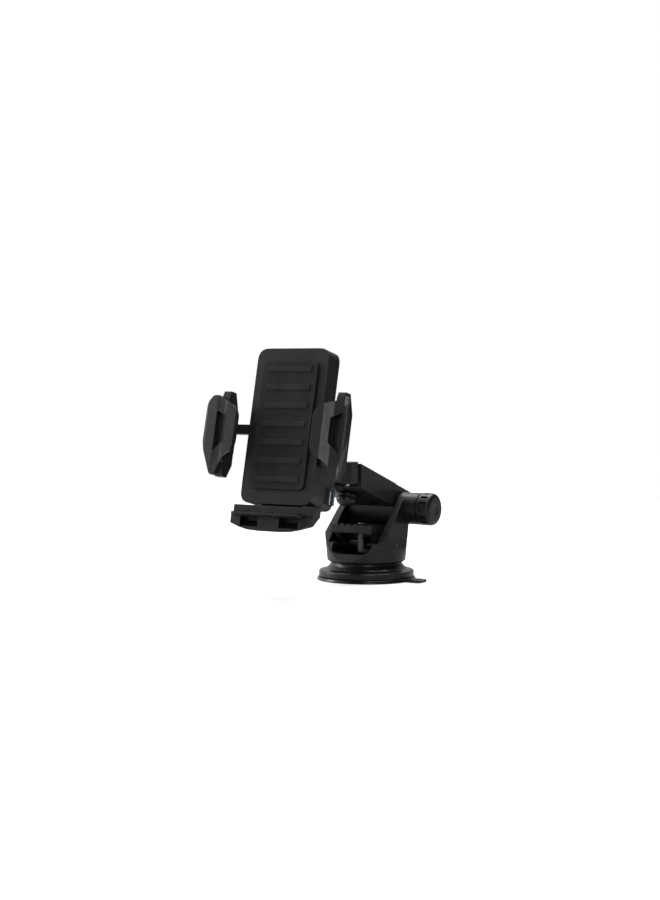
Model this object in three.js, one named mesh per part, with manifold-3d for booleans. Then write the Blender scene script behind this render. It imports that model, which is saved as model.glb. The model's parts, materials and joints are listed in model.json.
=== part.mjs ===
// A car phone mount: a lever-locked suction base, a tilting telescopic arm with a clamp knob, a swivel
// and a ball joint, and a cradle whose two side arms close on the phone above a sliding foot.
// Millimetres, +Z up. The origin is the centre of the suction face, and -Y is the side the phone faces.

import * as THREE from 'three';
import { mergeVertices } from 'three/addons/utils/BufferGeometryUtils.js';
import Module from 'manifold-3d';

const wasm = await Module();
wasm.setup();

// ---------------------------------------------------------------- driving dimensions

const GAP = 0.3; // between pieces that lie against each other
const ROUND = 40; // sides of a large round
const FINE = 18; // sides of a small round

const PAD = { radius: 31.6, thick: 2.0, tabEnd: 41.5, tabHalf: 5.5, tabThick: 1.6 };
const RING = { radius: 30.2, rimTop: 6.2, neck: 22.7, top: 11.4, dome: 26.5, plate: 9.4, hole: 2.9 };
const TOWER = { bottom: RING.top + GAP, low: 24.9, high: 26.0, highAt: 25, wall: 2.6 };
const EAR = { inner: 17.9, radius: 10.2, bossEnd: 30.9, bossRadius: 10.1 };
const FLANK = { foot: [26.8, 11], bend: [23.9, 20], knee: [23.3, 31], top: [21.3, 60] }; // [x, z]
const FACET = { foot: [-24.6, 13.6], knee: [-14.0, 28.0] }; // [y, z] of the slanted front
const PIVOT = { y: 16.8, z: 44.7 }; // the arm's tilt axis, along X
const WINDOW = { half: 14.2, sill: 17.4, corner: 5 };
const SCREW_RING = 18.2;

const LEVER = { y: -2, z: 22, barY: -17, barZ: 33.4, half: 14.8 };
const CAM = { radius: 3.6, offset: 1.5, lean: 40, half: 1.6 };
const STEM = { rod: 2.4, flange: 8.0, flangeAt: 3.8 };

const ARM_SLOPE = 18.6; // degrees, rising to the front
const ARM = { half: 17.5, low: -1.8, high: 12.4, back: 9.0, hub: 11.0, mouthY: -36.2 };
const CHANNEL = { half: 14.5, low: 3.6, high: 10.6 };
const BAR = { half: 13.2, low: 3.9, high: 10.3, back: 5.0, front: -64.5 };
const HEAD = { half: 16.6, rear: -37.6, front: -51.5, low: 63.6, high: 76.8 };
const LOCK = { along: -41.7, radius: 6.5, height: 8.0, shank: 2.0 };
const KNOB = { start: 31.2, collar: 33.6, ribsEnd: 38.8, end: 40.9, radius: 10.25, ribs: 14 };

const SWIVEL = { y: -47.5, radius: 10, low: 58.9, high: 63.3, bolt: 2.5 };
const BALL = { radius: 8.0, neck: 3.8, dip: 12 }; // the neck dips from the ball to the swivel
const HEAD_SCREW = { x: 10.5, y: -41.4, radius: 1.9 };

const LEAN = 13.25; // degrees the cradle leans back
const CRADLE = { y: -92.605, z: 119.935 }; // centre of the face the phone rests on
const PHONE = { half: 35.45, thick: 7.7 }; // the size of phone the side arms are set to
const BODY = { half: 25, low: -66.5, high: 27, front: 2.3, split: 11.8, back: 17, wall: 2.0 };
const SOCKET = { y: 34, z: -49.5, bulge: 24.5, bulgeTop: -31, bulgeBack: 26, boss: 12.5, bore: 10.8 };
const NUT = { radius: 14.5, start: 26.4, lip: 38.4, end: 41, opening: 7.6, ribs: 20 };
const RACE = { radius: 10.5, start: 28.5, end: 37.7, inner: 8.25 };
const GEAR = { z: -31, module: 1, teeth: 10, front: 5.0, back: 8.4, play: 0.28 };
const RAIL = { deep: 7.0, inner: -14.5, teeth: [-4.5, -3.5, -2.5, -1.5, -0.5, 0.5, 1.5, 2.5, 3.5] };
const WING = { tip: 26, out: 50, lipBack: -8.1, plateBack: -3.4 };
const SPINE = { inner: 37.4, outer: 42.6, back: 7, top: -0.5, bottom: -52 };
const BACKING = { outer: 45.2, front: -2.6, back: -0.8, low: -40, high: -10 }; // behind the slot
const BUTTON = { z: -58, half: 5, front: 19.4, back: 25.2, proud: 27.2, inner: 20.6 };
const FOOT = { half: 28, shelf: -73.2, bottom: -83.2, front: -2.4, tongue: 14 };
const SHELF = { half: 24, front: -8.6, under: -74.7, back: 1.4 };

const PITCH = Math.PI * GEAR.module;
const GEAR_RADIUS = (GEAR.module * GEAR.teeth) / 2;

// ---------------------------------------------------------------- materials

const finish = (color, roughness, metalness = 0) =>
  new THREE.MeshStandardMaterial({ color, roughness, metalness });
const blackPlastic = finish(0x1b1c1e, 0.5);
const satinPlastic = finish(0x222326, 0.38);
const glossPlastic = finish(0x2b3034, 0.15);
const rubber = finish(0x141415, 0.85);
const gel = finish(0x101012, 0.3);
const steel = finish(0x8d9094, 0.35, 1);
const nylon = finish(0x3a3b3d, 0.6);

// ---------------------------------------------------------------- shapes and booleans

const rad = THREE.MathUtils.degToRad;

/** A closed geometry as a manifold solid, with shared corners merged and its faces pointing out. */
function toSolid(geometry) {
  const bare = geometry.clone();
  bare.deleteAttribute('normal');
  bare.deleteAttribute('uv');
  const merged = mergeVertices(bare, 1e-4);
  const points = merged.attributes.position;
  const corners = merged.index.array;
  const kept = [];
  const [a, b, c] = [new THREE.Vector3(), new THREE.Vector3(), new THREE.Vector3()];
  let volume = 0;
  for (let i = 0; i < corners.length; i += 3) {
    const [p, q, r] = corners.subarray(i, i + 3);
    if (p === q || q === r || r === p) continue;
    kept.push(p, q, r);
    a.fromBufferAttribute(points, p);
    b.fromBufferAttribute(points, q);
    c.fromBufferAttribute(points, r);
    volume += a.dot(b.cross(c));
  }
  if (volume < 0) kept.reverse();
  const mesh = new wasm.Mesh({
    numProp: 3,
    vertProperties: Float32Array.from(points.array),
    triVerts: Uint32Array.from(kept),
  });
  return new wasm.Manifold(mesh);
}

/** A manifold solid as a geometry. */
function toGeometry(solid) {
  const mesh = solid.getMesh();
  const geometry = new THREE.BufferGeometry();
  geometry.setAttribute('position', new THREE.BufferAttribute(mesh.vertProperties, 3));
  geometry.setIndex(new THREE.BufferAttribute(mesh.triVerts, 1));
  geometry.computeVertexNormals();
  return geometry;
}

const join = (...solids) => solids.reduce((whole, next) => whole.add(next));
const cut = (solid, ...tools) => tools.reduce((whole, tool) => whole.subtract(tool), solid);

/** A box between two corners, each side given as a pair. */
function slab([x0, x1], [y0, y1], [z0, z1]) {
  const box = new THREE.BoxGeometry(x1 - x0, y1 - y0, z1 - z0);
  return toSolid(box.translate((x0 + x1) / 2, (y0 + y1) / 2, (z0 + z1) / 2));
}

/** An outline pushed from one place to another along an axis. Along x it is drawn in (y, z). */
function prism(axis, outline, from, to) {
  const shape = new THREE.Shape(outline.map(([p, q]) => new THREE.Vector2(p, q)));
  const solid = new THREE.ExtrudeGeometry(shape, { depth: to - from, bevelEnabled: false });
  const [x, y, z] = [[1, 0, 0], [0, 1, 0], [0, 0, 1]].map((v) => new THREE.Vector3(...v));
  const place = new THREE.Matrix4();
  if (axis === 'x') place.makeBasis(y, z, x).setPosition(from, 0, 0);
  if (axis === 'y') place.makeBasis(x, z, y.clone().negate()).setPosition(0, to, 0);
  if (axis === 'z') place.makeBasis(x, y, z).setPosition(0, 0, from);
  return toSolid(solid.applyMatrix4(place));
}

/** A profile of [radius, height] turned about an axis through the origin. */
function turned(axis, profile, sides = ROUND) {
  const points = [...profile, profile[0]].map(([r, h]) => new THREE.Vector2(r, h));
  const lathe = new THREE.LatheGeometry(points, sides);
  if (axis === 'x') lathe.rotateZ(-Math.PI / 2);
  if (axis === 'z') lathe.rotateX(Math.PI / 2);
  return toSolid(lathe);
}

const rod = (axis, radius, from, to, sides = FINE) =>
  turned(axis, [[0, from], [radius, from], [radius, to], [0, to]], sides);

/** An outline with every corner rounded. */
function softened(outline, radius, steps = 4) {
  const out = [];
  outline.forEach((corner, i) => {
    const here = new THREE.Vector2(...corner);
    const before = new THREE.Vector2(...outline.at(i - 1)).sub(here);
    const after = new THREE.Vector2(...outline[(i + 1) % outline.length]).sub(here);
    const reach = Math.min(radius, before.length() / 2.2, after.length() / 2.2);
    before.setLength(reach).add(here);
    after.setLength(reach).add(here);
    for (const point of new THREE.QuadraticBezierCurve(before, here, after).getPoints(steps)) {
      out.push([point.x, point.y]);
    }
  });
  return out;
}

const rectangle = (x0, y0, x1, y1) => [[x0, y0], [x1, y0], [x1, y1], [x0, y1]];
const arc = (cx, cy, radius, fromDeg, toDeg, steps) =>
  Array.from({ length: steps + 1 }, (_, i) => {
    const t = rad(fromDeg + ((toDeg - fromDeg) * i) / steps);
    return [cx + radius * Math.cos(t), cy + radius * Math.sin(t)];
  });
const mirrored = (outline) => outline.map(([x, y]) => [-x, y]).reverse();

const part = (name, solid, material) => {
  const mesh = new THREE.Mesh(toGeometry(solid), material);
  mesh.name = name;
  return mesh;
};

// ---------------------------------------------------------------- suction base

/** The soft disc that grips the dashboard, with the tab that peels it off. */
function suctionPad() {
  const disc = turned('z', [[0, 0], [PAD.radius - 0.4, 0], [PAD.radius, 0.5], [PAD.radius - 0.8, PAD.thick],
    [0, PAD.thick]], ROUND);
  const tabOutline = softened(rectangle(25, -PAD.tabHalf, PAD.tabEnd, PAD.tabHalf), 3);
  return join(disc, prism('z', tabOutline, 0.2, 0.2 + PAD.tabThick));
}

/** The stiff skirt over the disc: a rim, a sloping shoulder and a flat top, hollow below. */
function baseRing() {
  const { radius, rimTop, neck, top, dome, plate, hole } = RING;
  const low = PAD.thick + GAP;
  const outside = [[dome, low], [radius, low], [radius, rimTop - 0.5], [radius - 0.6, rimTop],
    [neck + 3, rimTop + 0.9], [neck + 0.8, top - 2.4], [neck, top - 1], [neck, top]];
  const inside = [[hole, top], [hole, plate], [20.6, plate], [dome, 5]];
  const shell = turned('z', [...outside, ...inside]);
  const holes = screwPlaces().map(([x, y]) => rod('z', 1.6, plate - 1, top + 1).translate([x, y, 0]));
  return cut(shell, ...holes);
}

const screwPlaces = () => [45, 135, 225, 315].map((deg) =>
  [SCREW_RING * Math.cos(rad(deg)), SCREW_RING * Math.sin(rad(deg))]);

function panScrew(axis, headFrom, headTo, tip, headRadius, shankRadius) {
  const grow = Math.sign(tip - headTo);
  const head = rod(axis, headRadius, Math.min(headFrom, headTo), Math.max(headFrom, headTo), 16);
  const neck = headTo - grow * 0.4;
  const shank = rod(axis, shankRadius, Math.min(neck, tip), Math.max(neck, tip), 8);
  return join(head, shank);
}

// ---------------------------------------------------------------- tower

/** The side outline of the tower: slanted front, round ears about the tilt axis, upright back. */
function towerSide() {
  const [footY, footZ] = FACET.foot;
  const ears = arc(PIVOT.y, PIVOT.z, EAR.radius, 135, -20, 16);
  return [[footY - 2, TOWER.bottom], [footY, footZ], FACET.knee,
    ...ears, [26.4, 33], [30, TOWER.bottom]];
}

function towerHousing() {
  const { bottom, low, high, highAt, wall } = TOWER;
  const barrel = turned('z', [[0, bottom], [low - 0.9, bottom], [low, bottom + 0.9], [high, highAt],
    [high + 3.4, 60], [0, 60]]);
  const bends = [FLANK.foot, FLANK.bend, FLANK.knee].map((p) => new THREE.Vector2(...p));
  const bend = new THREE.QuadraticBezierCurve(...bends);
  const rightFlank = [...bend.getPoints(9).map(({ x, y }) => [x, y]), FLANK.top];
  const flanks = prism('y', [...rightFlank, ...mirrored(rightFlank)], -60, 60);
  const boss = rod('x', EAR.bossRadius, EAR.inner + 1, EAR.bossEnd, ROUND).translate([0, PIVOT.y, PIVOT.z]);
  const body = barrel.intersect(prism('x', towerSide(), -40, 40)).intersect(flanks);
  const outer = join(body, boss);
  const behind = [[FACET.foot[0] + 2.4, bottom - 1], [FACET.foot[0] + 2.4, FACET.foot[1]],
    [FACET.knee[0] + 3.2, FACET.knee[1]], [40, FACET.knee[1]], [40, bottom - 1]];
  const room = rod('z', low - wall, bottom - 1, 26.4, ROUND).intersect(prism('x', behind, -40, 40));
  const rear = low - wall + 0.6;
  const corner = (Math.acos(EAR.inner / rear) * 180) / Math.PI;
  const rearArc = arc(0, 0, rear, corner, 180 - corner, 12);
  const between = prism('z', [[-EAR.inner, -40], [EAR.inner, -40], ...rearArc], 24, 70);
  const tailRoom = slab([-EAR.inner, EAR.inner], [10, 40], [37, 70]);
  const hubRoom = rod('x', ARM.hub + 0.8, -EAR.inner, EAR.inner, ROUND).translate([0, PIVOT.y, PIVOT.z]);
  const opening = softened(rectangle(-WINDOW.half, WINDOW.sill, WINDOW.half, 46), WINDOW.corner);
  const mouth = prism('y', opening, -40, -12);
  const bolt = rod('x', 3.3, -30, 35).translate([0, PIVOT.y, PIVOT.z]);
  const pin = rod('x', 1.75, -24.1, 24.1).translate([0, LEVER.y, LEVER.z]);
  const posts = screwPlaces().map(([x, y]) => {
    const post = rod('z', 3.3, bottom, 17.6).translate([x, y, 0]);
    const turn = (Math.atan2(y, x) * 180) / Math.PI;
    const web = slab([0, 5], [-1.4, 1.4], [bottom, 17.6]).rotate([0, 0, turn]).translate([x, y, 0]);
    return join(post, web);
  });
  const shell = cut(outer, room, between, tailRoom, hubRoom, mouth);
  return cut(join(shell, ...posts.map((post) => post.intersect(outer))), bolt, pin,
    ...screwPlaces().map(([x, y]) => rod('z', 1.5, bottom - 1, 16.6).translate([x, y, 0])));
}

/** The lock lever: a ribbed grip bar, two cheeks, and a hub whose eccentric cam lifts the stem. */
function lockLever() {
  const { y, z, barY, barZ, half } = LEVER;
  const barSide = [[barY - 2.9, barZ - 2.7], [barY + 2.2, barZ - 2.7], [barY + 2.9, barZ + 2.2],
    [barY - 1.2, barZ + 2.9]];
  const bar = prism('x', softened(barSide, 0.9, 2), -half, half);
  const notches = [-9.6, -4.8, 0, 4.8, 9.6].map((x) =>
    slab([x - 0.8, x + 0.8], [barY - 4, barY + 4], [barZ + 1.9, barZ + 4]));
  const cheekOutline = [[barY + 1, barZ - 2.4], [barY + 2.8, barZ + 2], [y + 2.6, z + 3.2],
    ...arc(y, z, 3.6, 40, -140, 6), [barY + 5, barZ - 7]];
  const cheeks = [-half, half - 3.4].map((x) => prism('x', cheekOutline, x, x + 3.4));
  const hub = rod('x', 2.6, -half + 1, half - 1).translate([0, y, z]);
  const lean = rad(CAM.lean);
  const cam = rod('x', CAM.radius, -CAM.half - 0.4, CAM.half + 0.4, 32)
    .translate([0, y + CAM.offset * Math.sin(lean), z + CAM.offset * Math.cos(lean)]);
  const pin = rod('x', 1.75, -30, 30).translate([0, y, z]);
  return cut(join(bar, ...cheeks, hub, cam), pin, ...notches);
}

const leverPin = () => rod('x', 1.6, -23.8, 23.8).translate([0, LEVER.y, LEVER.z]);

/** The stem that the cam lifts: an eye around the cam, a rod, and the flange held in the disc. */
function pullStem() {
  const lift = CAM.offset * Math.cos(rad(CAM.lean));
  const eyeZ = LEVER.z + lift;
  const reach = CAM.radius + 0.35;
  const window = rectangle(LEVER.y - reach + 0.2, eyeZ - reach, LEVER.y + reach + 2.0, eyeZ + reach);
  const frame = rectangle(LEVER.y - reach - 1.8, eyeZ - reach - 2.2, LEVER.y + reach + 4, eyeZ + reach + 2);
  const eye = cut(prism('x', softened(frame, 2), -CAM.half, CAM.half),
    prism('x', softened(window, 1.5), -9, 9));
  const shank = rod('z', STEM.rod, STEM.flangeAt + 0.4, eyeZ - reach - 0.6);
  const flange = rod('z', STEM.flange, STEM.flangeAt, STEM.flangeAt + 1.5, 32);
  return join(eye, shank, flange);
}

/** The bolt through both ears, with its square-shouldered head in the left one. */
function pivotBolt() {
  const shank = rod('x', 3.0, -25, 37);
  const head = rod('x', 6.4, -26.2, -23.1, 32);
  return join(shank, head).translate([0, PIVOT.y, PIVOT.z]);
}

/** The hand knob on the bolt: a plain collar, a ribbed grip and a domed end. */
function clampKnob() {
  const { start, collar, ribsEnd, end, radius, ribs } = KNOB;
  const body = turned('x', [[0, start], [radius - 0.6, start], [radius, start + 0.6], [radius, end - 2.6],
    [radius - 0.5, end - 1.2], [radius - 1.7, end - 0.3], [radius - 3.2, end], [0, end]], ROUND);
  const groove = (i) => slab([collar, ribsEnd], [-0.95, 0.95], [radius - 1.1, radius + 2])
    .rotate([(360 / ribs) * (i + 0.5), 0, 0]);
  const bore = rod('x', 3.3, start - 1, 37.4);
  const grooves = Array.from({ length: ribs }, (_, i) => groove(i));
  return cut(body, bore, ...grooves).translate([0, PIVOT.y, PIVOT.z]);
}

const washer = (x) => cut(rod('x', 8.6, x, x + 0.9 - GAP / 2, 32), rod('x', 3.4, x - 1, x + 2))
  .translate([0, PIVOT.y, PIVOT.z]);

// ---------------------------------------------------------------- arm, drawn about its tilt axis

/** The sleeve: a rectangular tube on a round hub, its mouth cut upright. */
function outerArm() {
  const { half, low, high, back, hub, mouthY } = ARM;
  const width = half - 0.75;
  const tube = slab([-half, half], [-70, back], [low, high]);
  const round = rod('x', hub, -width, width, ROUND);
  const away = slab([-40, 40], [-120, mouthY - PIVOT.y], [-80, 80]).rotate([ARM_SLOPE, 0, 0]);
  const channel = slab([-CHANNEL.half, CHANNEL.half], [-90, 40], [CHANNEL.low, CHANNEL.high]);
  const tubeWidth = slab([-width, width], [-70, 40], [-20, 20]);
  const bolt = rod('x', 3.3, -40, 40);
  const screw = rod('z', LOCK.shank + 0.3, low - 1, CHANNEL.low + 1).translate([0, LOCK.along, 0]);
  const capRoom = slab([-15.8, 15.8], [back - 2.2, back + 3], [CHANNEL.low - 1.2, CHANNEL.high + 0.9]);
  const wide = join(tube, round).intersect(join(tubeWidth, slab([-half, half], [-70, -14], [-20, 20])));
  return cut(wide, away, channel, bolt, screw, capRoom);
}

const tailCap = () => join(
  slab([-15.5, 15.5], [ARM.back - 1.9, ARM.back + 0.6], [CHANNEL.low - 0.9, CHANNEL.high + 0.6]),
  slab([-11, 11], [ARM.back - 3.2, ARM.back - 1.5], [CHANNEL.low + 0.7, CHANNEL.high - 0.7]));

const upright = (solid) => solid.translate([0, -PIVOT.y, -PIVOT.z]).rotate([ARM_SLOPE, 0, 0]);
const headScrewPlaces = () => [-HEAD_SCREW.x, HEAD_SCREW.x].map((x) => [x, HEAD_SCREW.y]);
const headScrewHoles = () => headScrewPlaces()
  .map(([x, y]) => rod('z', 1.4, 40, 73, 12).translate([x, y, 0]));

/** The flat bar that slides in the sleeve. */
const innerBar = () => cut(slab([-BAR.half, BAR.half], [BAR.front, BAR.back], [BAR.low, BAR.high]),
  ...headScrewHoles().map(upright));

/** The upright block screwed to the bar's end, bored for the swivel's bolt. */
function armHead() {
  const corner = 4.5;
  const plan = softened([[-HEAD.half, HEAD.rear], [-HEAD.half, HEAD.front + corner],
    [-HEAD.half + corner, HEAD.front], [HEAD.half - corner, HEAD.front],
    [HEAD.half, HEAD.front + corner], [HEAD.half, HEAD.rear]], 1.2, 2);
  const block = prism('z', plan, HEAD.low, HEAD.high);
  const hole = rod('z', SWIVEL.bolt + 0.3, 50, 90).translate([0, SWIVEL.y, 0]);
  const sink = rod('z', 5.1, HEAD.high - 3.2, 90, 32).translate([0, SWIVEL.y, 0]);
  const socket = slab([-BAR.half - GAP, BAR.half + GAP], [BAR.front - GAP, 0],
    [BAR.low - GAP, BAR.high + GAP]);
  return cut(upright(cut(block, hole, sink, ...headScrewHoles())), socket);
}

/** The thumb screw under the sleeve that holds the bar where it is set. */
function lockKnob() {
  const top = ARM.low - GAP;
  const { radius, height, shank } = LOCK;
  const grip = turned('z', [[0, top], [radius - 0.8, top], [radius, top - 0.8], [radius, top - 2.1],
    [radius - 0.7, top - 2.4], [radius - 0.7, top - 2.9], [radius - 0.1, top - 3.4], [radius, top - 4.5],
    [radius - 0.6, top - 6.2], [radius - 2.2, top - 7.6], [radius - 4.2, top - height],
    [0, top - height]], 32);
  const screw = rod('z', shank, top - 1, CHANNEL.low - 0.1, 16);
  return join(grip, screw).translate([0, LOCK.along, 0]);
}

// ---------------------------------------------------------------- swivel and ball joint

const ballCentre = () => {
  const lean = rad(LEAN);
  return [0, CRADLE.y + SOCKET.z * Math.sin(lean) + SOCKET.y * Math.cos(lean),
    CRADLE.z + SOCKET.z * Math.cos(lean) - SOCKET.y * Math.sin(lean)];
};

const NECK_END = 16; // how far the neck reaches from the ball's centre
const alongNeck = (radius, from, to) =>
  rod('y', radius, from, to, 28).rotate([-BALL.dip, 0, 0]).translate(ballCentre());

/** The turntable under the arm's head, with the lug that the ball's neck grows out of. */
function swivelPlate() {
  const { y, radius, low, high, bolt } = SWIVEL;
  const disc = turned('z', [[0, low], [radius - 0.8, low], [radius, low + 0.8], [radius, high - 0.8],
    [radius - 0.8, high], [0, high]]).translate([0, y, 0]);
  const lug = prism('z', softened(rectangle(-6.5, y - 13, 6.5, y), 2), low - 1, high);
  const nutRoom = rod('z', 4.6, low - 3, low + 1.4, 6).translate([0, y, 0]);
  const neckRoom = alongNeck(BALL.neck + GAP, 4, NECK_END + GAP);
  return cut(join(disc, lug), rod('z', bolt + 0.2, 40, 90).translate([0, y, 0]), nutRoom, neckRoom);
}

/** The bolt that the swivel turns on, its head sunk in the top of the arm's head. */
function swivelBolt() {
  const shank = rod('z', SWIVEL.bolt, SWIVEL.low - 1.2, HEAD.high - 2.4);
  const socket = rod('z', 2.2, HEAD.high - 1.9, 90, 6);
  const head = cut(rod('z', 4.8, HEAD.high - 2.9, HEAD.high - 0.4, 32), socket);
  return join(shank, head).translate([0, SWIVEL.y, 0]);
}

const swivelNut = () => cut(
  rod('z', 4.3, SWIVEL.low - 1.1, SWIVEL.low + 1.1, 6),
  rod('z', SWIVEL.bolt + 0.15, 40, 90),
).translate([0, SWIVEL.y, 0]);

/** The ball on its neck, which is pinned into the swivel's lug. */
const ballStud = () => join(
  toSolid(new THREE.SphereGeometry(BALL.radius, 28, 16).rotateX(Math.PI / 2)).translate(ballCentre()),
  alongNeck(BALL.neck, 2, NECK_END));

// ---------------------------------------------------------------- cradle, drawn in its leaning frame

const atSocket = (solid) => solid.translate([0, 0, SOCKET.z]);

/** The liner that the ball turns in. */
const ballRace = () => atSocket(cut(rod('y', RACE.radius, RACE.start, RACE.end, 28),
  toSolid(new THREE.SphereGeometry(RACE.inner, 28, 16).rotateX(Math.PI / 2)).translate([0, SOCKET.y, 0])));

/** The knurled nut that closes the socket on the liner. */
function ringNut() {
  const { radius, start, lip, end, opening, ribs } = NUT;
  const shell = turned('y', [[SOCKET.boss + 0.3, start], [radius - 0.5, start], [radius, start + 0.8],
    [radius, end - 1.8], [radius - 1.6, end], [opening + 0.5, end], [opening, end - 0.6], [opening, lip],
    [SOCKET.boss + 0.3, lip]], ROUND);
  const groove = (i) => slab([-0.55, 0.55], [start + 1.8, end - 2.6], [radius - 0.55, radius + 1])
    .rotate([0, (360 / ribs) * i, 0]);
  return atSocket(cut(shell, ...Array.from({ length: ribs }, (_, i) => groove(i))));
}

const bodyOutline = (inset) => softened(
  rectangle(-BODY.half + inset, BODY.low + inset, BODY.half - inset, BODY.high - inset), 7 - inset, 5);
const coverScrews = () => [[-18.6, 20], [18.6, 20], [-18.6, -11], [18.6, -11]];

/** The front half of the case: a tray with slots for the two racks and the foot's tongue. */
function frontCover() {
  const { front, split, wall } = BODY;
  const tray = cut(prism('y', bodyOutline(0), front, split), prism('y', bodyOutline(wall), front + wall, 30));
  const posts = coverScrews().map(([x, z]) => rod('y', 3, front + 1, split).translate([x, 0, z]));
  const holes = coverScrews().map(([x, z]) => rod('y', 1.4, split - 5, split + 1, 16).translate([x, 0, z]));
  const axle = rod('y', 2.6, front + 1, GEAR.front - 0.4).translate([0, 0, GEAR.z]);
  const axleHole = rod('y', 1.35, front + 0.9, 20).translate([0, 0, GEAR.z]);
  const slots = [railSpan(1), railSpan(-1)].map(([low, high], i) =>
    slab(i ? [-40, -10] : [10, 40], [GEAR.front - 0.4, GEAR.back + 0.4], [low - 0.4, high + 0.4]));
  const foot = slab([-FOOT.tongue - 0.4, FOOT.tongue + 0.4], [8.8, 30], [-80, BODY.low + 8]);
  return cut(join(tray, ...posts, axle), axleHole, ...holes, ...slots, foot);
}

/** The back half of the case, with the bulge that holds the buttons and the threaded socket. */
function backCover() {
  const { split, back, wall, low } = BODY;
  const inner = split + GAP;
  const edge = 2.6;
  const lid = join(
    prism('y', bodyOutline(0), inner, back - edge),
    prism('y', bodyOutline(edge * 0.5), inner, back - 0.9),
    prism('y', bodyOutline(edge), inner, back),
  );
  const room = prism('y', bodyOutline(wall), inner - 1, back - wall - 1.4);
  const bulgeOutline = softened(rectangle(-SOCKET.bulge, low, SOCKET.bulge, SOCKET.bulgeTop), 5);
  const bulge = prism('y', bulgeOutline, back - wall, SOCKET.bulgeBack);
  const boss = atSocket(rod('y', SOCKET.boss, SOCKET.bulgeBack - 1, NUT.lip - GAP, ROUND));
  const bore = atSocket(rod('y', SOCKET.bore, RACE.start - GAP, 60, 28));
  const cup = atSocket(toSolid(new THREE.SphereGeometry(8.7, 20, 12)).translate([0, SOCKET.y, 0]));
  const sinks = coverScrews().map(([x, z]) => rod('y', 2.8, back - 1.9, back + 1).translate([x, 0, z]));
  const holes = coverScrews().map(([x, z]) => rod('y', 1.5, inner - 1, back + 1, 16).translate([x, 0, z]));
  const posts = coverScrews().map(([x, z]) => rod('y', 3.6, inner, back - 1.2).translate([x, 0, z]));
  const buttons = [-1, 1].map((side) => {
    const span = side > 0 ? [12, 40] : [-40, -12];
    return slab(span, [BUTTON.front - 0.3, BUTTON.back + 0.3],
      [BUTTON.z - BUTTON.half - 0.3, BUTTON.z + BUTTON.half + 0.3]);
  });
  const foot = slab([-FOOT.tongue - 0.4, FOOT.tongue + 0.4], [0, 14.6], [-80, low + 8]);
  const shell = join(cut(join(lid, bulge), room), boss, ...posts);
  return cut(shell, bore, cup, foot, ...sinks, ...holes, ...buttons);
}

/** The ribbed rubber sheet that the phone's back rests on. */
function restPad() {
  const sheet = prism('y', softened(rectangle(-19, -58, 19, 19), 4), 0.6, BODY.front - GAP);
  const ribs = [-52, -41, -30, -19, -8, 3, 14].map((z) => slab([-15, 15], [0.1, 1.0], [z - 1.6, z + 1.6]));
  return join(sheet, ...ribs);
}

const coverScrew = ([x, z]) => panScrew('y', BODY.back - 0.3, BODY.back - 1.6, BODY.split - 4.4, 2.5, 1.2)
  .translate([x, 0, z]);

/** The low and high edge of a rack's bar: the right one runs below the pinion, the left one above. */
function railSpan(side) {
  const near = GEAR_RADIUS + GEAR.module * 1.15;
  const far = near + RAIL.deep - 1.15;
  return side > 0 ? [GEAR.z - far, GEAR.z - near] : [GEAR.z + near, GEAR.z + far];
}

/** A rack tooth that points at the pinion, centred on x. */
function rackTooth(x, side) {
  const root = PITCH / 4 - GEAR.play + 0.42;
  const tip = PITCH / 4 - GEAR.play - 0.32;
  const [base, end] = [GEAR_RADIUS + 1.4, GEAR_RADIUS - 0.85].map((d) => GEAR.z - side * d);
  const outline = [[x - root, base], [x + root, base], [x + tip, end], [x - tip, end]];
  return prism('y', outline, GEAR.front, GEAR.back);
}

/** Outline of a side arm's plate seen from the front, on the right. */
const wingFront = () => softened([[WING.tip, -15.5], [29, -10.8], [37.5, -6.6], [43.5, -3.4],
  [46.5, -3.6], [49.6, -9.5], [WING.out, -32], [47.5, -41], [44.3, -51.5], [40.8, -52],
  [37.8, -44], [32.8, -39.8], [28.2, -37], [WING.tip, -33]], 2, 3);

/** Its section seen from above: a lip over the phone's edge, a face that falls back, and a flared rim. */
const wingSection = () => [[WING.tip, WING.lipBack], [WING.tip, -9.3], [27, -10.6], [33.4, -10.2],
  [38.2, -6.3], [44.4, -5.9], [48.6, -8.7], [WING.out, -8.4], [WING.out, -6.6],
  [45.2, WING.plateBack], [36.6, WING.plateBack], [36.6, -5.6], [34.4, WING.lipBack]];

/** The upright bar behind the plate, seen from the side. */
const spineSide = () => [[-4, -4], [-2.6, SPINE.top], [2.4, SPINE.top], [SPINE.back, -12],
  [SPINE.back, -44], [3, SPINE.bottom], [-1.6, SPINE.bottom], [-4, -45]];

const wingSlot = () => softened([[36.9, -16], [43.9, -12.8], [43.9, -37.4], [36.9, -31]], 1, 2);

/** A side arm: the plate with its slot, the spine behind it, and the rack that runs into the case. */
function sideArm(side) {
  const turn = (outline) => (side > 0 ? outline : mirrored(outline));
  const plate = prism('y', turn(wingFront()), -20, 20).intersect(prism('z', turn(wingSection()), -60, 10));
  const slot = prism('y', turn(wingSlot()), -30, BACKING.front);
  const [near, far] = side > 0 ? [SPINE.inner, SPINE.outer] : [-SPINE.outer, -SPINE.inner];
  const spine = prism('x', spineSide(), near, far);
  const wall = side > 0 ? [SPINE.outer - 1, BACKING.outer] : [-BACKING.outer, 1 - SPINE.outer];
  const backing = slab(wall, [WING.plateBack - 1, BACKING.back], [BACKING.low, BACKING.high]);
  const [low, high] = railSpan(side);
  const rail = slab(side > 0 ? [RAIL.inner, 41] : [-41, -RAIL.inner], [GEAR.front, GEAR.back], [low, high]);
  const teeth = RAIL.teeth.map((n) => rackTooth(side * n * PITCH, side));
  return join(cut(join(plate, spine, backing), slot), rail, ...teeth);
}

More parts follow.
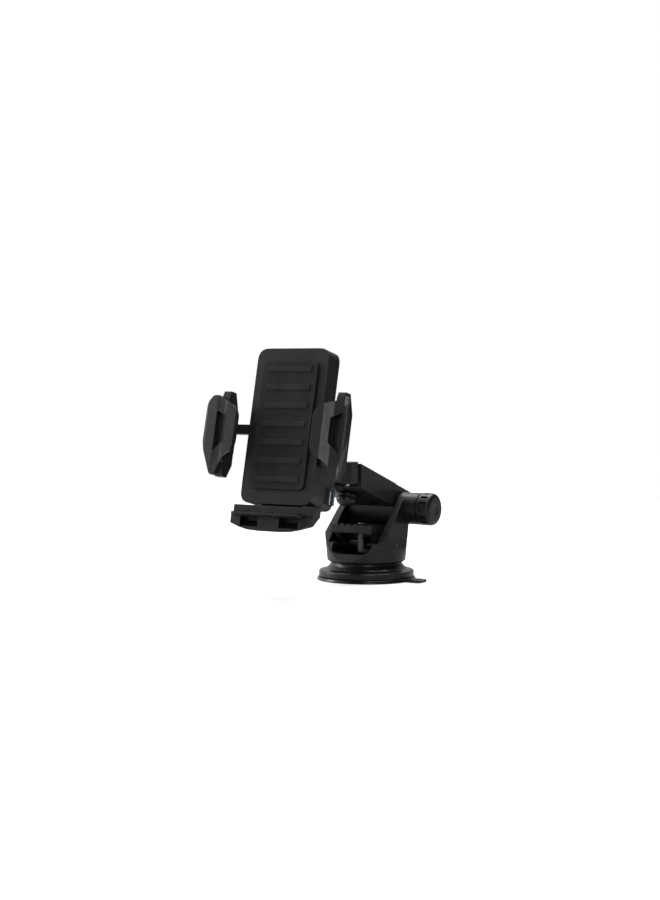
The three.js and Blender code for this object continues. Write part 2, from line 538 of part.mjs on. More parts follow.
/** The soft strip inside a side arm that touches the phone's edge. */
function gripPad(side) {
  const turn = ([from, to]) => (side > 0 ? [from, to] : [-to, -from]);
  const strip = slab(turn([PHONE.half + 0.05, SPINE.inner - GAP]), [-3.2, GEAR.front - GAP], [-37, -12.5]);
  const grooves = [-31.5, -25, -18.5].map((z) =>
    slab(turn([PHONE.half - 1, PHONE.half + 0.5]), [-2, 3.8], [z - 0.6, z + 0.6]));
  return cut(strip, ...grooves);
}

/** The pinion that makes both side arms move together. A tooth points at each rack. */
function pinion() {
  const tooth = (i) => {
    const step = 360 / GEAR.teeth;
    const foot = PITCH / 4 - GEAR.play + 0.5;
    const tip = PITCH / 4 - GEAR.play - 0.35;
    const outline = [[-foot, 3], [foot, 3], [tip, GEAR_RADIUS + 0.85], [-tip, GEAR_RADIUS + 0.85]];
    return prism('y', outline, GEAR.front, GEAR.back).rotate([0, step * i, 0]);
  };
  const root = rod('y', GEAR_RADIUS - 1.25, GEAR.front, GEAR.back, 40);
  const whole = join(root, ...Array.from({ length: GEAR.teeth }, (_, i) => tooth(i)));
  return cut(whole, rod('y', 1.45, 0, 20)).translate([0, 0, GEAR.z]);
}

const pinionPin = () => join(rod('y', 1.2, BODY.front + 1.1, BODY.split - 1, 16),
  rod('y', 2.4, GEAR.back + 0.4, GEAR.back + 1.5)).translate([0, 0, GEAR.z]);

/** A release button: a rounded cap on the bulge's side with a tongue that guides its spring. */
function releaseButton(side) {
  const { z, half, front, back, proud, inner } = BUTTON;
  const outline = softened([[inner, front], [proud - 1.4, front], [proud, front + 1.4], [proud, back - 1.4],
    [proud - 1.4, back], [inner, back]], 0.8, 2);
  const cap = prism('z', side > 0 ? outline : mirrored(outline), z - half, z + half);
  const peg = rod('x', 1.2, 15.5, inner + 0.5, 16).translate([0, (front + back) / 2, z]);
  return join(cap, side > 0 ? peg : peg.rotate([0, 180, 0]).translate([0, 0, 2 * z]));
}

/** A coil spring between the bulge's core and a button. */
function buttonSpring(side) {
  const { z, front, back, inner } = BUTTON;
  const [from, to, turns, coil, wire] = [12.4, inner - 0.4, 4.5, 1.9, 0.3];
  class Helix extends THREE.Curve {
    getPoint(t, target = new THREE.Vector3()) {
      const turn = 2 * Math.PI * turns * t;
      return target.set(side * (from + wire + (to - from - 2 * wire) * t),
        (front + back) / 2 + coil * Math.cos(turn), z + coil * Math.sin(turn));
    }
  }
  const section = new THREE.Shape(arc(0, 0, wire, 0, 270, 3).map(([p, q]) => new THREE.Vector2(p, q)));
  const options = { steps: 36, extrudePath: new Helix(), bevelEnabled: false };
  return toSolid(new THREE.ExtrudeGeometry(section, options));
}

/** The foot: a thin shelf under the phone on a pocketed scoop, with a tongue that slides in the case. */
function footTray() {
  const { half, bottom, front, tongue } = FOOT;
  const top = BODY.low - 1.2;
  const side = [[front - 1, SHELF.under + 0.6], [front + 0.8, bottom], [front + 1.8, bottom],
    [2, -79.2], [6, -75.2], [10.5, -70.9], [14.5, top], [SHELF.back, top],
    [SHELF.back, SHELF.under + 0.6]];
  const rim = [[half, top], [half, -78.8], [20.7, -81.4], [15, -82.7], [7, bottom]];
  const face = [...rim, ...mirrored(rim)];
  const edge = [[half, 20], [half, -0.6], [27, -1.6], [8, front]];
  const plan = [...edge, ...mirrored(edge)];
  const body = prism('x', side, -half, half)
    .intersect(prism('y', face, -30, 30))
    .intersect(prism('z', plan, -100, -50));
  const shelf = prism('z', softened(rectangle(-SHELF.half, SHELF.front, SHELF.half, SHELF.back), 3),
    SHELF.under, FOOT.shelf);
  const corners = [-1, 1].map((s) => {
    const span = s > 0 ? [BODY.half + 0.2, 40] : [-40, -BODY.half - 0.2];
    return slab(span, [9, 30], [-73, -50]);
  });
  const ceiling = SHELF.under - 0.2;
  const pocketSide = [[-20, -80.9], [-1.6, -80.9], [2.4, -76.9], [2.4, ceiling], [-20, ceiling]];
  const pockets = [[-20.1, -7.4], [7.4, 20.1]].map(([from, to]) => prism('x', pocketSide, from, to));
  const stem = slab([-tongue, tongue], [9.2, 11.4], [BODY.low - 3, -46.5]);
  return join(cut(body, ...corners, ...pockets), shelf, stem);
}

/** One of the foot's three rubber rests, in the middle or to a side. */
function footPad(x) {
  const outline = softened(rectangle(x - 4.2, FOOT.shelf + GAP, x + 4.2, FOOT.shelf + 1.3), 0.4, 2);
  return prism('y', outline, -6, 0.6);
}

// ---------------------------------------------------------------- assembly

const mount = new THREE.Group();

function addBase(group) {
  group.add(part('suction_pad', suctionPad(), gel));
  group.add(part('base_ring', baseRing(), satinPlastic));
  group.add(part('tower_housing', towerHousing(), blackPlastic));
  screwPlaces().forEach(([x, y], i) => {
    const screw = panScrew('z', 7.2, 9.0, 16.0, 2.6, 1.3).translate([x, y, 0]);
    group.add(part(`base_screw_${i + 1}`, screw, steel));
  });
  group.add(part('lever_pin', leverPin(), steel));
  group.add(part('lock_lever', lockLever(), satinPlastic));
  group.add(part('pull_stem', pullStem(), nylon));
  group.add(part('pivot_bolt', pivotBolt(), steel));
  group.add(part('clamp_knob', clampKnob(), blackPlastic));
}

function addArm(group) {
  const arm = new THREE.Group();
  arm.position.set(0, PIVOT.y, PIVOT.z);
  arm.rotation.x = -rad(ARM_SLOPE);
  arm.add(part('outer_arm', outerArm(), blackPlastic));
  arm.add(part('arm_tail_cap', tailCap(), satinPlastic));
  arm.add(part('inner_bar', innerBar(), satinPlastic));
  arm.add(part('arm_head', armHead(), satinPlastic));
  arm.add(part('slide_lock_knob', lockKnob(), satinPlastic));
  group.add(arm);
  headScrewPlaces().forEach(([x, y], i) => {
    const screw = panScrew('z', HEAD.low - 2, HEAD.low - GAP, 72, HEAD_SCREW.radius, 1.15);
    group.add(part(`head_screw_${i + 1}`, screw.translate([x, y, 0]), steel));
  });
  group.add(part('washer_left', washer(-EAR.inner + 0.1), nylon));
  group.add(part('washer_right', washer(EAR.inner - 0.85), nylon));
  group.add(part('swivel_plate', swivelPlate(), satinPlastic));
  group.add(part('swivel_bolt', swivelBolt(), steel));
  group.add(part('swivel_nut', swivelNut(), steel));
  group.add(part('ball_stud', ballStud(), glossPlastic));
}

function addCradle(group) {
  const cradle = new THREE.Group();
  cradle.position.set(0, CRADLE.y, CRADLE.z);
  cradle.rotation.x = -rad(LEAN);
  cradle.add(part('ball_race', ballRace(), nylon));
  cradle.add(part('ring_nut', ringNut(), satinPlastic));
  cradle.add(part('back_cover', backCover(), blackPlastic));
  cradle.add(part('front_cover', frontCover(), blackPlastic));
  cradle.add(part('rest_pad', restPad(), rubber));
  coverScrews().forEach((place, i) => cradle.add(part(`cover_screw_${i + 1}`, coverScrew(place), steel)));
  cradle.add(part('pinion', pinion(), nylon));
  cradle.add(part('pinion_pin', pinionPin(), steel));
  for (const [side, name] of [[-1, 'left'], [1, 'right']]) {
    cradle.add(part(`side_arm_${name}`, sideArm(side), satinPlastic));
    cradle.add(part(`grip_pad_${name}`, gripPad(side), rubber));
    cradle.add(part(`release_button_${name}`, releaseButton(side), glossPlastic));
    cradle.add(part(`button_spring_${name}`, buttonSpring(side), steel));
  }
  cradle.add(part('foot_tray', footTray(), blackPlastic));
  [-17.5, 0, 17.5].forEach((x, i) => cradle.add(part(`foot_pad_${i + 1}`, footPad(x), rubber)));
  group.add(cradle);
}

addBase(mount);
addArm(mount);
addCradle(mount);

export default mount;
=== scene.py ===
# The looks of the car phone mount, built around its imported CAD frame.
import json
import math

import bmesh
import bpy
from mathutils import Matrix, Vector


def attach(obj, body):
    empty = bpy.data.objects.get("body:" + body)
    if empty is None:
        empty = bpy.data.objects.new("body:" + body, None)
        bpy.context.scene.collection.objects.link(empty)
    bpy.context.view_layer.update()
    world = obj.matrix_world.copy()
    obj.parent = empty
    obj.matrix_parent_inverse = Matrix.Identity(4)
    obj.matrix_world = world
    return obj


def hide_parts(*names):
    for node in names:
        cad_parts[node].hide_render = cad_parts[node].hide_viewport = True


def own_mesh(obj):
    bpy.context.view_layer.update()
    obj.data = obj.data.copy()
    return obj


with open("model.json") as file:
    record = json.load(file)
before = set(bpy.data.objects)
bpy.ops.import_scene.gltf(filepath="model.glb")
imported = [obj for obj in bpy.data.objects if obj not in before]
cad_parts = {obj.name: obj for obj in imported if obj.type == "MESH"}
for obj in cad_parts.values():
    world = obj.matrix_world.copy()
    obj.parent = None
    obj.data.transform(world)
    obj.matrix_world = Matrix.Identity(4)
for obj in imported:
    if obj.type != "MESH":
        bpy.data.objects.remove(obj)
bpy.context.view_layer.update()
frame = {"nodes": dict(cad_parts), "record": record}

MM = 0.001
GAP = 0.3  # between pieces that lie against each other

# Driving sizes, in millimetres.
SCREW_RING = 18.2  # from the base's middle to each of its screws
ARM_LOW = -1.8  # the sleeve's underside, in the arm's frame
SLEEVE_SCREW = -41.7  # the thumb screw's place along the arm
SOCKET_BACK = 34  # how far behind the cradle's origin the ball's centre is
COVER_SCREWS = ((-18.6, 20), (18.6, 20), (-18.6, -11), (18.6, -11))
# The right button spring's two ends and its axis, in the cradle's frame. The left one mirrors it.
SPRING_START = 12.4
SPRING_END = 20.2
SPRING_Y = 22.3
SPRING_Z = -58

SCREW_TURNS = [math.radians(angle) for angle in (45, 135, 225, 315)]

# Places of the mount's parts in the row frame. Lengths are in millimetres.
ROW = Matrix.Identity(4)
PIVOT = Matrix.Translation((0, 16.8, 44.7))
ARM = PIVOT @ Matrix.Rotation(math.radians(-18.6), 4, "X")
CRADLE = Matrix.Translation((0, -92.605, 119.935)) @ Matrix.Rotation(math.radians(-13.25), 4, "X")
SOCKET = CRADLE @ Matrix.Translation((0, SOCKET_BACK, -49.5))
BALL = Matrix.Translation(SOCKET.translation) @ Matrix.Rotation(math.radians(-12), 4, "X")

# ---------------------------------------------------------------- camera, light and floor

CAMERA = {"place": (0.5504, -0.9371, 0.1333), "azimuth": 31.65, "pitch": 2.70, "lens": 68.48}
FLOOR = 0.7  # half the floor's width, in metres


def add_camera():
    data = bpy.data.cameras.new("camera")
    data.sensor_width = 36
    data.lens = CAMERA["lens"]
    data.clip_start = 0.01
    camera = bpy.data.objects.new("camera", data)
    camera.location = CAMERA["place"]
    camera.rotation_euler = (math.radians(90 - CAMERA["pitch"]), 0, math.radians(CAMERA["azimuth"]))
    bpy.context.scene.collection.objects.link(camera)
    bpy.context.scene.camera = camera


def add_light(name, place, aim, size, power):
    data = bpy.data.lights.new(name, "AREA")
    data.shape = "RECTANGLE"
    data.size, data.size_y = size
    data.energy = power
    light = bpy.data.objects.new(name, data)
    light.location = place
    light.rotation_euler = (Vector(aim) - Vector(place)).to_track_quat("-Z", "Y").to_euler()
    bpy.context.scene.collection.objects.link(light)


def add_sun(name, direction, strength, spread):
    data = bpy.data.lights.new(name, "SUN")
    data.energy = strength
    data.angle = math.radians(spread)
    light = bpy.data.objects.new(name, data)
    light.rotation_euler = Vector(direction).to_track_quat("-Z", "Y").to_euler()
    bpy.context.scene.collection.objects.link(light)


def add_world():
    """White behind the object, and a dimmer room for it to reflect, darkest on its right."""
    world = bpy.data.worlds.new("studio")
    bpy.context.scene.world = world
    world.use_nodes = True
    tree = world.node_tree
    room = tree.nodes["Background"]
    room.inputs["Strength"].default_value = 1
    place = tree.nodes.new("ShaderNodeTexCoord").outputs["Generated"]
    across = tree.nodes.new("ShaderNodeSeparateXYZ")
    tree.links.new(place, across.inputs["Vector"])
    shade = tree.nodes.new("ShaderNodeValToRGB")
    shade.color_ramp.elements[0].color = (1.0, 1.0, 1.01, 1)
    shade.color_ramp.elements[0].position = 0.0
    shade.color_ramp.elements[1].color = (0.03, 0.03, 0.032, 1)
    shade.color_ramp.elements[1].position = 0.72
    scale = tree.nodes.new("ShaderNodeMapRange")
    scale.inputs["From Min"].default_value = -1
    scale.inputs["From Max"].default_value = 1
    tree.links.new(across.outputs["X"], scale.inputs["Value"])
    tree.links.new(scale.outputs["Result"], shade.inputs["Fac"])
    tree.links.new(shade.outputs["Color"], room.inputs["Color"])
    white = tree.nodes.new("ShaderNodeBackground")
    white.inputs["Color"].default_value = (1, 1, 1, 1)
    path = tree.nodes.new("ShaderNodeLightPath")
    mix = tree.nodes.new("ShaderNodeMixShader")
    tree.links.new(path.outputs["Is Camera Ray"], mix.inputs["Fac"])
    tree.links.new(room.outputs["Background"], mix.inputs[1])
    tree.links.new(white.outputs["Background"], mix.inputs[2])
    tree.links.new(mix.outputs["Shader"], tree.nodes["World Output"].inputs["Surface"])


def add_studio():
    add_world()
    add_sun("overhead", (0.12, -0.42, -1), 4.2, 50)
    add_light("top", (0.0, -0.06, 1.05), (0, -0.02, 0.06), (0.4, 0.4), 4.5)
    add_light("front", (0.66, -0.84, 0.44), (0, -0.05, 0.08), (0.3, 0.3), 2.6)
    add_light("left", (-0.95, -0.3, 0.35), (0, -0.05, 0.08), (0.25, 0.8), 6)
    corners = [(-FLOOR, -FLOOR, 0), (FLOOR, -FLOOR, 0), (FLOOR, FLOOR, 0), (-FLOOR, FLOOR, 0)]
    mesh = bpy.data.meshes.new("floor")
    mesh.from_pydata(corners, [], [(0, 1, 2, 3)])
    floor = bpy.data.objects.new("floor", mesh)
    bpy.context.scene.collection.objects.link(floor)
    paper = bpy.data.materials.new("paper")
    paper.use_nodes = True
    shader = paper.node_tree.nodes["Principled BSDF"]
    shader.inputs["Base Color"].default_value = (0.4, 0.4, 0.4, 1)
    shader.inputs["Emission Color"].default_value = (1, 1, 1, 1)
    path = paper.node_tree.nodes.new("ShaderNodeLightPath")
    glow = paper.node_tree.nodes.new("ShaderNodeMath")
    glow.operation = "MULTIPLY"
    glow.inputs[1].default_value = 0.65
    paper.node_tree.links.new(path.outputs["Is Camera Ray"], glow.inputs[0])
    paper.node_tree.links.new(glow.outputs["Value"], shader.inputs["Emission Strength"])
    shader.inputs["Roughness"].default_value = 0.95
    shader.inputs["Specular IOR Level"].default_value = 0.1
    mesh.materials.append(paper)
    floor.location.z = -0.0002
    bpy.context.scene.view_settings.view_transform = "Standard"


# ---------------------------------------------------------------- materials


def moulded(name, dark, light, roughness, grain, bump, specular=0.3, worn=1.5):
    """Moulded plastic or rubber: cloudy colour, uneven shine, a fine grain, and edges rubbed lighter."""
    material = bpy.data.materials.new(name)
    material.use_nodes = True
    tree = material.node_tree
    shader = tree.nodes["Principled BSDF"]
    shader.inputs["Specular IOR Level"].default_value = specular
    place = tree.nodes.new("ShaderNodeTexCoord").outputs["Object"]

    def noise(scale, detail, stretch=(1, 1, 1)):
        mapping = tree.nodes.new("ShaderNodeMapping")
        mapping.inputs["Scale"].default_value = stretch
        tree.links.new(place, mapping.inputs["Vector"])
        node = tree.nodes.new("ShaderNodeTexNoise")
        node.inputs["Scale"].default_value = scale
        node.inputs["Detail"].default_value = detail
        tree.links.new(mapping.outputs["Vector"], node.inputs["Vector"])
        return node.outputs["Fac"]

    def ramp(value, low, high, first, second):
        node = tree.nodes.new("ShaderNodeValToRGB")
        node.color_ramp.elements[0].color = (*first, 1)
        node.color_ramp.elements[0].position = low
        node.color_ramp.elements[1].color = (*second, 1)
        node.color_ramp.elements[1].position = high
        tree.links.new(value, node.inputs["Fac"])
        return node.outputs["Color"]

    def blend(mode, amount, first, second):
        node = tree.nodes.new("ShaderNodeMix")
        node.data_type = "RGBA"
        node.blend_type = mode
        node.inputs["Factor"].default_value = amount
        tree.links.new(first, node.inputs["A"])
        tree.links.new(second, node.inputs["B"])
        return node.outputs["Result"]

    cloudy = ramp(noise(90, 5), 0.3, 0.75, dark, light)
    edges = tree.nodes.new("ShaderNodeNewGeometry").outputs["Pointiness"]
    rubbed = ramp(edges, 0.5, 0.58, (1, 1, 1), (1 + worn,) * 3)
    tree.links.new(blend("MULTIPLY", 1, cloudy, rubbed), shader.inputs["Base Color"])
    streaks = ramp(noise(420, 3, (1, 1, 0.12)), 0.35, 0.8, (0, 0, 0), (1, 1, 1))
    uneven = ramp(noise(240, 4), 0.25, 0.8, (0, 0, 0), (1, 1, 1))
    spread = tree.nodes.new("ShaderNodeMapRange")
    spread.inputs["To Min"].default_value = roughness - 0.07
    spread.inputs["To Max"].default_value = roughness + 0.09
    tree.links.new(blend("MIX", 0.35, uneven, streaks), spread.inputs["Value"])
    tree.links.new(spread.outputs["Result"], shader.inputs["Roughness"])
    relief = tree.nodes.new("ShaderNodeBump")
    relief.inputs["Strength"].default_value = bump
    relief.inputs["Distance"].default_value = 0.00003
    tree.links.new(noise(grain, 3), relief.inputs["Height"])
    tree.links.new(relief.outputs["Normal"], shader.inputs["Normal"])
    return material


def metal(name, tone, roughness):
    material = moulded(name, [t * 0.8 for t in tone], tone, roughness, 1800, 0.2, 0.5, 0.1)
    material.node_tree.nodes["Principled BSDF"].inputs["Metallic"].default_value = 1
    return material


MATERIALS = {
    "black_plastic": moulded("black_plastic", (0.004, 0.0041, 0.0044), (0.0075, 0.0077, 0.0082),
                             0.4, 3200, 0.5),
    "satin_plastic": moulded("satin_plastic", (0.0045, 0.0046, 0.005), (0.0085, 0.0088, 0.0094),
                             0.32, 3600, 0.35),
    "gloss_plastic": moulded("gloss_plastic", (0.010, 0.015, 0.018), (0.016, 0.023, 0.027),
                             0.12, 900, 0.1, 0.6),
    "rubber": moulded("rubber", (0.006, 0.006, 0.006), (0.012, 0.012, 0.012), 0.8, 2600, 0.8, 0.25, 0.6),
    "gel": moulded("gel", (0.004, 0.004, 0.0045), (0.007, 0.007, 0.008), 0.28, 700, 0.15, 0.4, 0.3),
    "steel": metal("steel", (0.42, 0.43, 0.45), 0.32),
    "nylon": moulded("nylon", (0.05, 0.05, 0.052), (0.075, 0.075, 0.078), 0.5, 2600, 0.4),
}
SLOTS = {part["node"]: part["material_slot"] for part in frame["record"]["subparts"]}
BODIES = {node: body for body, nodes in frame["record"]["behaviour"]["bodies"].items() for node in nodes}

# ---------------------------------------------------------------- mesh tools


def solid(name, vertices, faces):
    """A closed mesh with its faces turned outward. It is not shown until it becomes a piece."""
    mesh = bpy.data.meshes.new(name)
    mesh.from_pydata(vertices, [], faces)
    made = bmesh.new()
    made.from_mesh(mesh)
    bmesh.ops.recalc_face_normals(made, faces=made.faces)
    made.to_mesh(mesh)
    made.free()
    return bpy.data.objects.new(name, mesh)


def eased(path, radius, steps=4, closed=False):
    """The path with each corner replaced by a short curve. An open path keeps its two ends."""
    points = [Vector(point) for point in path]
    result = []
    for i, corner in enumerate(points):
        if not closed and i in (0, len(points) - 1):
            result.append(tuple(corner))
            continue
        before, after = points[i - 1] - corner, points[(i + 1) % len(points)] - corner
        if before.angle(after) > math.radians(165):
            result.append(tuple(corner))
            continue
        start = corner + before.normalized() * min(radius, before.length * 0.45)
        end = corner + after.normalized() * min(radius, after.length * 0.45)
        for k in range(steps + 1):
            t = k / steps
            result.append(tuple(start * (1 - t) ** 2 + corner * 2 * t * (1 - t) + end * t * t))
    return result


def lathe(name, path, sides=96):
    """Turns a path of (radius, height) about Z. It runs from axis to axis, or closes on itself."""
    rings, vertices, faces = [], [], []
    for radius, height in path:
        count = 1 if radius < 1e-6 else sides
        rings.append([len(vertices) + i for i in range(count)])
        for i in range(count):
            turn = 2 * math.pi * i / sides
            vertices.append((radius * math.cos(turn), radius * math.sin(turn), height))
    ends_on_axis = len(rings[0]) == 1
    pairs = list(zip(rings, rings[1:])) + ([] if ends_on_axis else [(rings[-1], rings[0])])
    for low, high in pairs:
        for i in range(sides):
            j = (i + 1) % sides
            if len(low) == 1:
                faces.append((low[0], high[j], high[i]))
            elif len(high) == 1:
                faces.append((low[i], low[j], high[0]))
            else:
                faces.append((low[i], low[j], high[j], high[i]))
    return solid(name, vertices, faces)


def prism(name, outline, low, high):
    """An outline of (x, y) drawn up along Z."""
    count = len(outline)
    vertices = [(x, y, low) for x, y in outline] + [(x, y, high) for x, y in outline]
    faces = [tuple(range(count))[::-1], tuple(range(count, 2 * count))]
    for i in range(count):
        j = (i + 1) % count
        faces.append((i, j, count + j, count + i))
    return solid(name, vertices, faces)


def block(name, xs, ys, zs):
    return prism(name, [(xs[0], ys[0]), (xs[1], ys[0]), (xs[1], ys[1]), (xs[0], ys[1])], *zs)


def moved(obj, matrix):
    obj.data.transform(matrix)
    return obj


TO_X = Matrix.Rotation(math.radians(90), 4, "Y")
TO_Y = Matrix.Rotation(math.radians(-90), 4, "X")
UPSIDE_DOWN = Matrix.Rotation(math.pi, 4, "X")
# A groove's outline is drawn as (sideways, height) and its depth runs outward along X.
TO_GROOVE = Matrix(((0, 0, 1, 0), (1, 0, 0, 0), (0, 1, 0, 0), (0, 0, 0, 1)))


def combined(obj, others, how):
    """Joins or cuts closed meshes into one."""
    scene = bpy.context.scene.collection
    scene.objects.link(obj)
    for other in others:
        scene.objects.link(other)
        step = obj.modifiers.new("step", "BOOLEAN")
        step.operation = how
        step.solver = "MANIFOLD"
        step.object = other
    bpy.context.view_layer.update()
    made = bpy.data.meshes.new_from_object(obj.evaluated_get(bpy.context.evaluated_depsgraph_get()))
    for used in (obj, *others):
        bpy.data.objects.remove(used)
    return bpy.data.objects.new("solid", made)


def cut(obj, *others):
    return combined(obj, others, "DIFFERENCE")


def joined(obj, *others):
    return combined(obj, others, "UNION")


def soften(obj, width, angle=24):
    """Rounds the sharp edges with modifiers and shades the rest smooth."""
    obj.data.polygons.foreach_set("use_smooth", [True] * len(obj.data.polygons))
    weld = obj.modifiers.new("weld", "WELD")
    weld.merge_threshold = 2e-6
    flat = obj.modifiers.new("flat", "DECIMATE")
    flat.decimate_type = "DISSOLVE"
    flat.angle_limit = math.radians(0.8)
    bevel = obj.modifiers.new("bevel", "BEVEL")
    bevel.width = width * MM
    bevel.segments = 2
    bevel.angle_limit = math.radians(angle)
    bevel.harden_normals = True
    bevel.use_clamp_overlap = True
    shade = obj.modifiers.new("shade", "WEIGHTED_NORMAL")
    shade.keep_sharp = True


def piece(obj, node, place, bevel=0.15, angle=24):
    """Puts a mesh made in millimetres in its place, in its material, in a CAD node's stead."""
    obj.name = node + "_look"
    obj.data.name = obj.name
    obj.data.transform(place)
    obj.data.transform(Matrix.Scale(MM, 4))
    bpy.context.scene.collection.objects.link(obj)
    obj.data.materials.clear()
    obj.data.materials.append(MATERIALS[SLOTS[node]])
    soften(obj, bevel, angle)
    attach(obj, BODIES[node])
    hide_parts(node)
    return obj


# ---------------------------------------------------------------- base


def suction_pad():
    edge = [(0, 0), (31.2, 0), (31.6, 0.5), (31.35, 1.1), (30.8, 2.0), (27.0, 2.0), (0, 2.0)]
    disc = lathe("disc", eased(edge, 0.35), 128)
    tab = prism("tab", eased([(25, -5.5), (41.5, -5.5), (41.5, 5.5), (25, 5.5)], 3, 8, True), 0.2, 1.8)
    ridges = [moved(lathe("ridge", [(0, -4.2), (0.45, -4.0), (0.5, 0), (0.45, 4.0), (0, 4.2)], 20),
                    Matrix.Translation((x, 0, 1.62)) @ TO_Y) for x in (34.6, 36.6, 38.6)]
    return joined(disc, tab, *ridges)


def on_screw_ring(turn, height):
    return Matrix.Translation((SCREW_RING * math.cos(turn), SCREW_RING * math.sin(turn), height))


def base_ring():
    outside = [(26.5, 2.3), (30.2, 2.3), (30.2, 5.7), (29.6, 6.2), (25.7, 7.1), (23.5, 9.0),
               (22.7, 10.4), (22.7, 11.4)]
    inside = [(2.9, 11.4), (2.9, 9.4), (20.6, 9.4), (26.5, 5)]
    shell = lathe("shell", eased(outside + inside, 0.45, 4, True), 128)
    holes = [moved(lathe("hole", [(0, 8), (1.6, 8), (1.6, 13), (0, 13)], 24), on_screw_ring(turn, 0))
             for turn in SCREW_TURNS]
    return cut(shell, *holes)


def cross_screw(head_radius, height, shank_radius, length):
    """A domed screw head on Z = 0, with a cross recess, over a shank that runs down."""
    crown = [(0, height), (head_radius * 0.45, height - 0.06), (head_radius * 0.8, height * 0.78),
             (head_radius, height * 0.42), (head_radius, 0)]
    thread = []
    depth = -0.4
    while depth > -length + 1.4:
        thread += [(shank_radius, depth), (shank_radius - 0.18, depth - 0.3)]
        depth -= 0.6
    tip = [(shank_radius - 0.1, -length + 0.6), (shank_radius * 0.5, -length), (0, -length)]
    body = lathe("screw", crown + [(shank_radius, 0)] + thread + tip, 40)
    reach = head_radius * 0.58
    slots = [block("slot", (-reach, reach), (-0.27, 0.27), (height * 0.35, height + 1)),
             block("slot", (-0.27, 0.27), (-reach, reach), (height * 0.35 - 0.01, height + 1.01))]
    return cut(body, *slots)


def clamp_knob():
    """The knob along Z, before it is turned to X."""
    start, collar, ribs_end, end, radius, ribs = 31.2, 33.6, 38.8, 40.9, 10.25, 14
    path = [(0, start), (radius - 0.6, start), (radius, start + 0.6), (radius, end - 2.6),
            (radius - 0.5, end - 1.2), (radius - 1.7, end - 0.3), (radius - 3.2, end), (3.6, end),
            (3.0, end - 0.35), (0, end - 0.35)]
    body = lathe("knob", eased(path, 0.5), 112)
    grooves = []
    for i in range(ribs):
        slot = eased([(-0.95, collar), (0.95, collar), (0.95, ribs_end), (-0.95, ribs_end)], 0.9, 6, True)
        groove = moved(prism("groove", slot, radius - 1.1, radius + 2), TO_GROOVE)
        grooves.append(moved(groove, Matrix.Rotation(2 * math.pi * (i + 0.5) / ribs, 4, "Z")))
    bore = lathe("bore", [(0, start - 1), (3.3, start - 1), (3.3, 37.4), (0, 37.4)], 40)
    return moved(cut(body, bore, *grooves), TO_X)


def lock_knob():
    top = ARM_LOW - GAP
    path = [(0, top), (5.7, top), (6.5, top - 0.8), (6.5, top - 2.1), (5.8, top - 2.4), (5.8, top - 2.9),
            (6.4, top - 3.4), (6.5, top - 4.5), (5.9, top - 6.2), (4.3, top - 7.6), (2.3, top - 8.0),
            (0, top - 8.0)]
    grip = lathe("grip", eased(path, 0.6, 5), 96)
    shank = lathe("shank", [(0, top - 1), (2, top - 1), (2, 3.5), (0, 3.5)], 32)
    return moved(joined(grip, shank), Matrix.Translation((0, SLEEVE_SCREW, 0)))


def ball_stud():
    """The ball and its neck along Z."""
    radius = 8
    turns = [math.radians(angle) for angle in range(6, 151, 6)]
    ball = [(radius * math.sin(turn), -radius * math.cos(turn)) for turn in turns]
    neck = [(3.8, 7.2), (3.8, 16.0), (0, 16.0)]
    return moved(lathe("ball", [(0, -radius)] + ball + neck, 72), TO_Y)


def ring_nut():
    radius, start, end, ribs = 14.5, 26.4, 41, 20
    path = [(12.8, start), (14.0, start), (radius, start + 0.8), (radius, end - 1.8), (12.9, end), (8.1, end),
            (7.6, end - 0.6), (7.6, 38.4), (12.8, 38.4)]
    shell = lathe("nut", eased(path, 0.5, 4, True), 120)
    grooves = []
    low, high = start + 1.8, end - 2.6
    for i in range(ribs):
        slot = eased([(-0.55, low), (0.55, low), (0.55, high), (-0.55, high)], 0.5, 4, True)
        groove = moved(prism("groove", slot, radius - 0.55, radius + 1), TO_GROOVE)
        grooves.append(moved(groove, Matrix.Rotation(2 * math.pi * i / ribs, 4, "Z")))
    return moved(moved(cut(shell, *grooves), TO_Y), Matrix.Translation((0, -SOCKET_BACK, 0)))


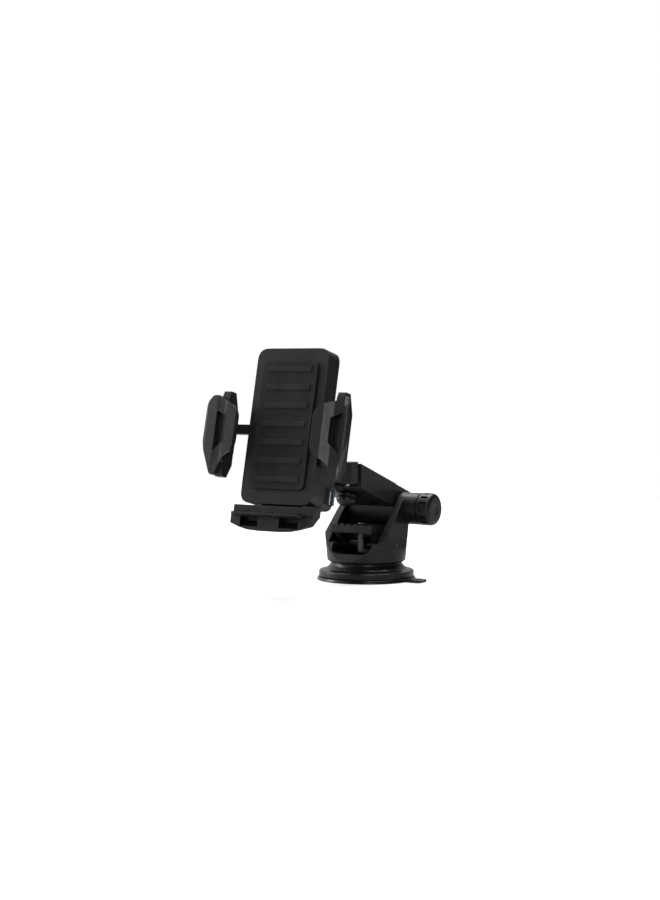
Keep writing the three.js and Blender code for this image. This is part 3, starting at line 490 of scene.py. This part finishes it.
def button_spring(side):
    """A round wire wound along X, in the cradle's frame."""
    turns, coil, wire, ring, steps = 4.5, 1.9, 0.3, 12, 120
    start, travel = SPRING_START + wire, SPRING_END - SPRING_START - 2 * wire
    vertices, faces = [], []
    for i in range(steps + 1):
        turn = 2 * math.pi * turns * i / steps
        centre = Vector((start + travel * i / steps, coil * math.cos(turn), coil * math.sin(turn)))
        outward = Vector((0, math.cos(turn), math.sin(turn)))
        for k in range(ring):
            around = 2 * math.pi * k / ring
            sideways = Vector((wire * math.sin(around), 0, 0))
            vertices.append(centre + outward * wire * math.cos(around) + sideways)
    for i in range(steps):
        for k in range(ring):
            n = (k + 1) % ring
            faces.append((i * ring + k, i * ring + n, (i + 1) * ring + n, (i + 1) * ring + k))
    faces += [tuple(range(ring)), tuple(steps * ring + k for k in range(ring))]
    return solid("spring", [(side * x, y + SPRING_Y, z + SPRING_Z) for x, y, z in vertices], faces)


def add_round_pieces():
    piece(suction_pad(), "suction_pad", ROW, 0.12)
    piece(base_ring(), "base_ring", ROW, 0.12)
    for i, turn in enumerate(SCREW_TURNS):
        place = on_screw_ring(turn, 9.0) @ UPSIDE_DOWN
        piece(cross_screw(2.6, 1.8, 1.3, 7.0), f"base_screw_{i + 1}", place, 0.06)
    piece(clamp_knob(), "clamp_knob", PIVOT, 0.25)
    piece(lock_knob(), "slide_lock_knob", ARM, 0.12)
    for i, x in enumerate((-10.5, 10.5)):
        place = Matrix.Translation((x, -41.4, 63.6 - GAP)) @ UPSIDE_DOWN
        piece(cross_screw(1.9, 1.7, 1.15, 8.7), f"head_screw_{i + 1}", place, 0.06)
    piece(ball_stud(), "ball_stud", BALL, 0.3)
    piece(ring_nut(), "ring_nut", SOCKET, 0.15)
    for i, (x, z) in enumerate(COVER_SCREWS):
        place = CRADLE @ Matrix.Translation((x, 15.4, z)) @ TO_Y
        piece(cross_screw(2.5, 1.3, 1.2, 8.0), f"cover_screw_{i + 1}", place, 0.06)
    for name, side in (("left", -1), ("right", 1)):
        spring = piece(button_spring(side), f"button_spring_{name}", CRADLE, 0.02, 60)
        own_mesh(spring)


# ---------------------------------------------------------------- CAD nodes that stay

BEVELS = {"tower_housing": 0.5, "side_arm_left": 0.45, "side_arm_right": 0.45, "foot_tray": 0.5,
          "rest_pad": 0.5, "grip_pad_left": 0.5, "grip_pad_right": 0.5, "lock_lever": 0.5,
          "outer_arm": 0.5, "back_cover": 0.5, "front_cover": 0.5}


def dress(node):
    """Softens a CAD node's edges with modifiers and gives it its material."""
    obj = frame["nodes"][node]
    obj.data.materials.clear()
    obj.data.materials.append(MATERIALS[SLOTS[node]])
    soften(obj, BEVELS.get(node, 0.35))


add_round_pieces()
for node in SLOTS:
    if not frame["nodes"][node].hide_render:
        dress(node)
add_camera()
add_studio()
